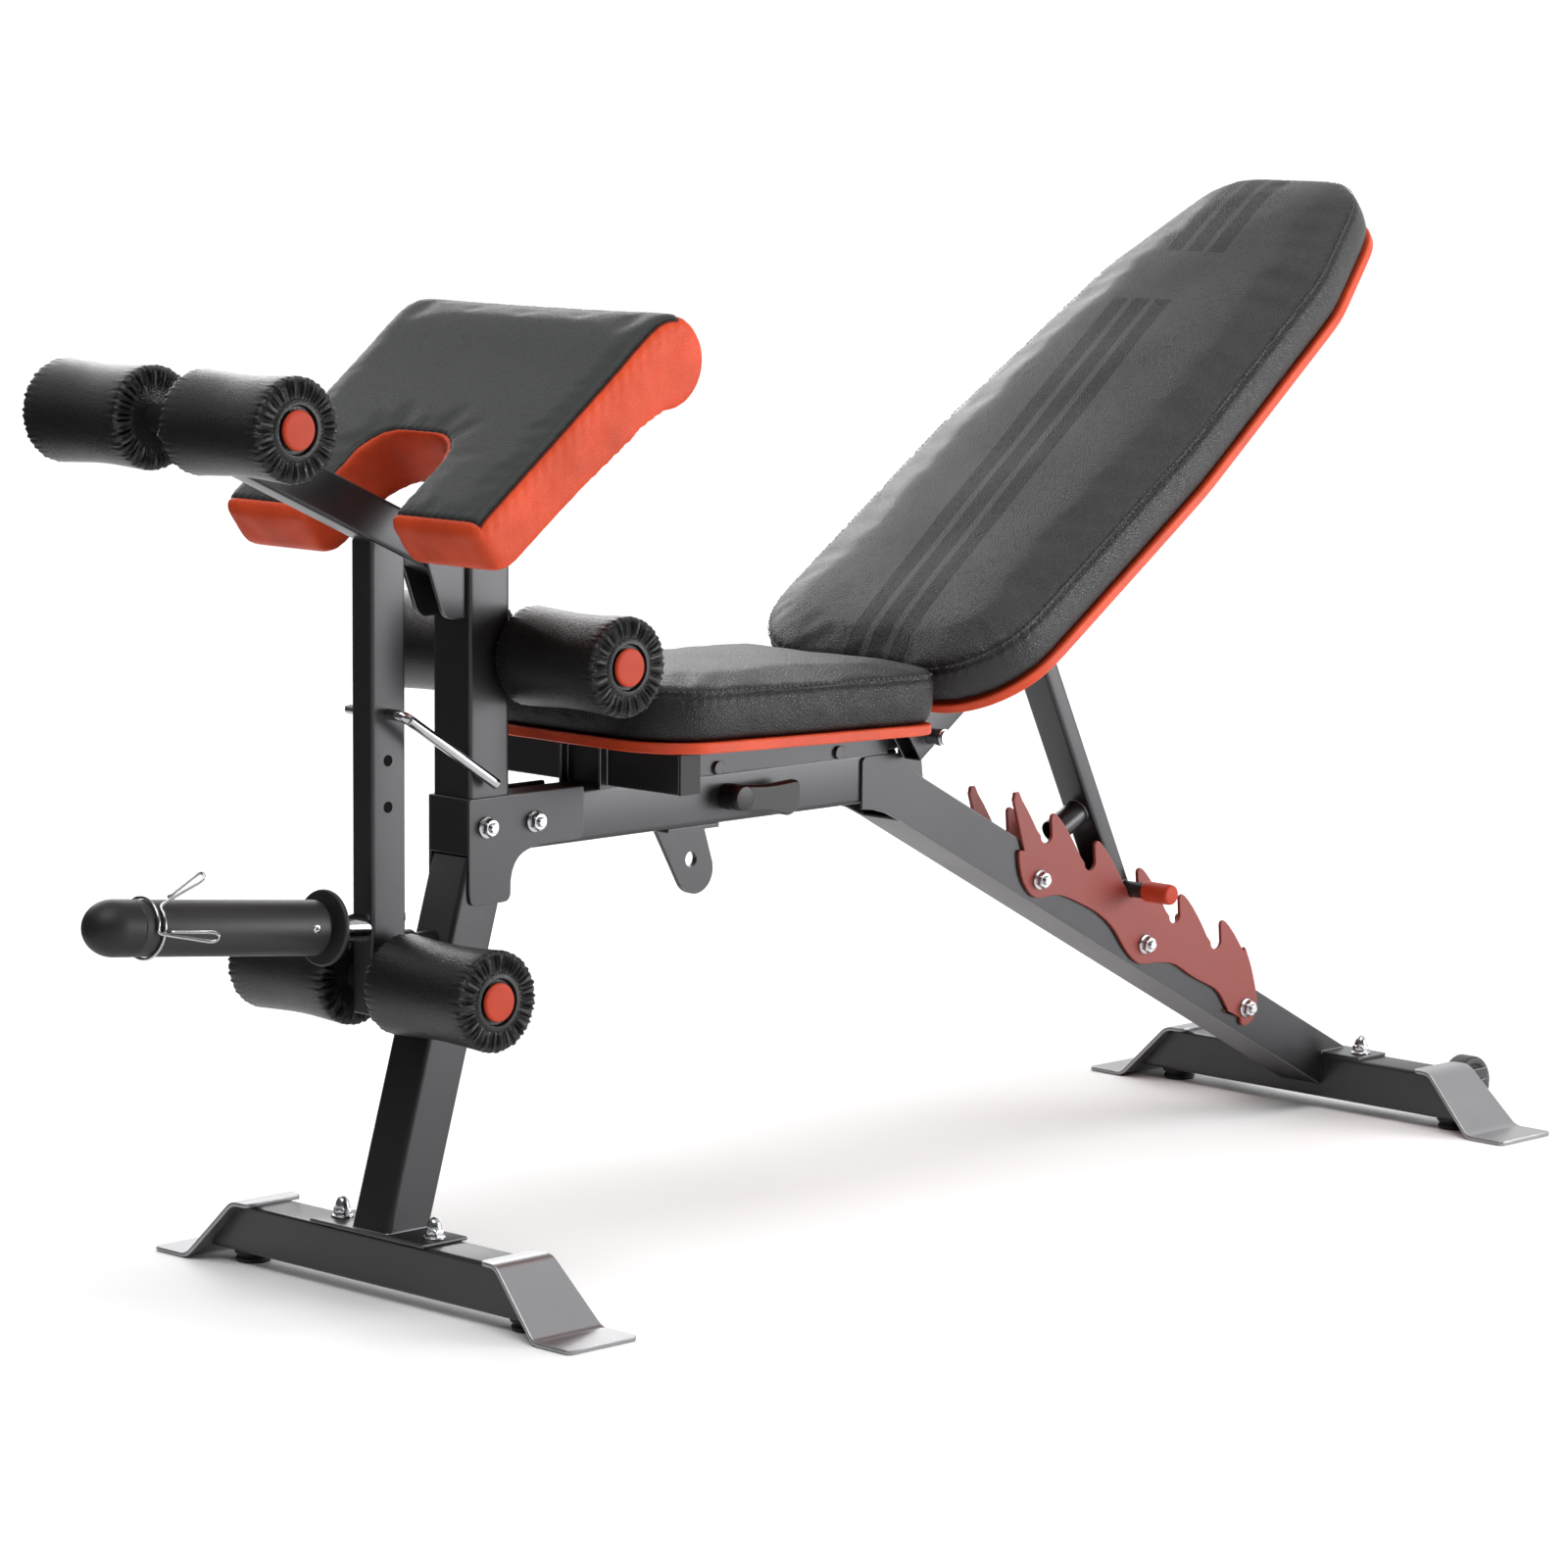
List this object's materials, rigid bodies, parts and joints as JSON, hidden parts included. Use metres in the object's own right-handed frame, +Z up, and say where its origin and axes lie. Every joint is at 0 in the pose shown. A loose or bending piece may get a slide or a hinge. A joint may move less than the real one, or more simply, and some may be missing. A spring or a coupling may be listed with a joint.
{
  "type": "adjustable weight bench",
  "caption": "Weight training bench with ratchet-adjusted backrest, fixed seat, leg developer with foam rollers and a curl pad on a front post.",
  "frame": {"origin": "centre of the bench's box at floor level", "axes": "+X from the curl pad end to the head end, +Y to the far side of the bench, +Z up; the bench stands on z = 0 and is symmetric about y = 0 apart from small fittings"},
  "size_m": [1.7426, 0.57, 0.9824],
  "materials": {
    "frame": "satin dark grey paint",
    "frame_light": "satin mid grey paint",
    "plate": "satin grey paint, lighter foot plates",
    "ratchet": "brick-red paint",
    "chrome": "bright plated steel",
    "rubber": "matt black rubber and end plugs",
    "wheel": "dark moulded transport wheel",
    "red_plug": "red plastic plugs and tips",
    "vinyl_orange": "orange-red vinyl over board",
    "vinyl_black": "grained black vinyl over foam",
    "foam": "black covered foam roller",
    "lever": "black moulded lever"
  },
  "bodies": {
    "bench_frame": {"front_stabiliser": "frame", "rear_stabiliser": "frame", "front_foot_plates": "plate", "rear_foot_plates": "plate", "rubber_feet": "rubber", "wheel_brackets": "frame", "front_leg": "frame", "front_leg_nuts": "chrome", "front_bracket": "frame", "bracket_bolts": "chrome", "main_tube": "frame", "rear_leg": "frame", "rear_leg_nuts": "chrome", "ladder_left": "ratchet", "ladder_right": "ratchet", "ladder_bolts": "chrome", "band_lug": "frame", "leg_bumper": "rubber", "preacher_post": "frame", "pivot_clevis": "frame", "knee_bar": "frame", "knee_bar_plugs": "red_plug", "preacher_plate": "frame", "preacher_pad": "vinyl_orange", "seat_frame": "frame_light", "seat_frame_caps": "rubber", "seat_bolts": "frame", "seat_board": "vinyl_orange", "seat_pad": "vinyl_black", "hinge_pin": "chrome", "pivot_bolt": "chrome"},
    "backrest": {"back_rails": "frame_light", "back_rail_plugs": "rubber", "back_board": "vinyl_orange", "back_pad": "vinyl_black", "strut_bolt": "chrome"},
    "strut": {"strut": "frame", "strut_bar_caps": "red_plug"},
    "leg_developer": {"developer_arm": "frame", "upright": "frame", "upper_bar": "frame", "ankle_bar": "frame", "developer_bar_plugs": "red_plug", "weight_post": "frame", "weight_post_cap": "rubber"},
    "hitch_pin": {"hitch_pin": "chrome"},
    "spring_clip": {"spring_clip": "chrome"},
    "clamp_lever": {"clamp_lever": "lever"},
    "wheel_left": {"wheel_left": "wheel"},
    "wheel_right": {"wheel_right": "wheel"},
    "roller_upper_left": {"roller_upper_left": "foam"},
    "roller_upper_right": {"roller_upper_right": "foam"},
    "roller_ankle_left": {"roller_ankle_left": "foam"},
    "roller_ankle_right": {"roller_ankle_right": "foam"},
    "roller_knee_left": {"roller_knee_left": "foam"},
    "roller_knee_right": {"roller_knee_right": "foam"}
  },
  "joints": [
    {"name": "developer_swing", "type": "hinge", "parent": "bench_frame", "child": "leg_developer", "pos_m": [-0.4797, 0, 0.675], "axis": [0, 1, 0], "range_deg": [0, 48]},
    {"name": "backrest_recline", "type": "hinge", "parent": "bench_frame", "child": "backrest", "pos_m": [0.1246, 0, 0.4592], "axis": [0, -1, 0], "range_deg": [0, 17]},
    {"name": "strut_swing", "type": "hinge", "parent": "backrest", "child": "strut", "pos_m": [0.2953, 0, 0.587], "axis": [0, -1, 0], "range_deg": [-14, 1]},
    {"name": "clamp_lever_turn", "type": "hinge", "parent": "bench_frame", "child": "clamp_lever", "pos_m": [-0.1257, 0, 0.421], "axis": [0, 1, 0], "range_deg": [0, 120]},
    {"name": "hitch_pin_pull", "type": "slide", "parent": "leg_developer", "child": "hitch_pin", "axis": [0, -1, 0], "range_m": [0, 0.06]},
    {"name": "spring_clip_slide", "type": "slide", "parent": "leg_developer", "child": "spring_clip", "axis": [-0.994, 0, 0.1097], "range_m": [-0.185, 0.03]},
    {"name": "wheel_left_spin", "type": "hinge", "parent": "bench_frame", "child": "wheel_left", "pos_m": [0.8423, 0, 0.037], "axis": [0, 1, 0], "continuous": true},
    {"name": "wheel_right_spin", "type": "hinge", "parent": "bench_frame", "child": "wheel_right", "pos_m": [0.8423, 0, 0.037], "axis": [0, 1, 0], "continuous": true},
    {"name": "roller_upper_left_spin", "type": "hinge", "parent": "leg_developer", "child": "roller_upper_left", "pos_m": [-0.76656, 0, 0.80513], "axis": [0, 1, 0], "continuous": true},
    {"name": "roller_upper_right_spin", "type": "hinge", "parent": "leg_developer", "child": "roller_upper_right", "pos_m": [-0.76656, 0, 0.80513], "axis": [0, 1, 0], "continuous": true},
    {"name": "roller_ankle_left_spin", "type": "hinge", "parent": "leg_developer", "child": "roller_ankle_left", "pos_m": [-0.5397, 0, 0.291], "axis": [0, 1, 0], "continuous": true},
    {"name": "roller_ankle_right_spin", "type": "hinge", "parent": "leg_developer", "child": "roller_ankle_right", "pos_m": [-0.5397, 0, 0.291], "axis": [0, 1, 0], "continuous": true},
    {"name": "roller_knee_left_spin", "type": "hinge", "parent": "bench_frame", "child": "roller_knee_left", "pos_m": [-0.3827, 0, 0.575], "axis": [0, 1, 0], "continuous": true},
    {"name": "roller_knee_right_spin", "type": "hinge", "parent": "bench_frame", "child": "roller_knee_right", "pos_m": [-0.3827, 0, 0.575], "axis": [0, 1, 0], "continuous": true}
  ],
  "couplings": [
    {"joint": "strut_swing", "follows": "backrest_recline", "ratio": -0.8}
  ]
}
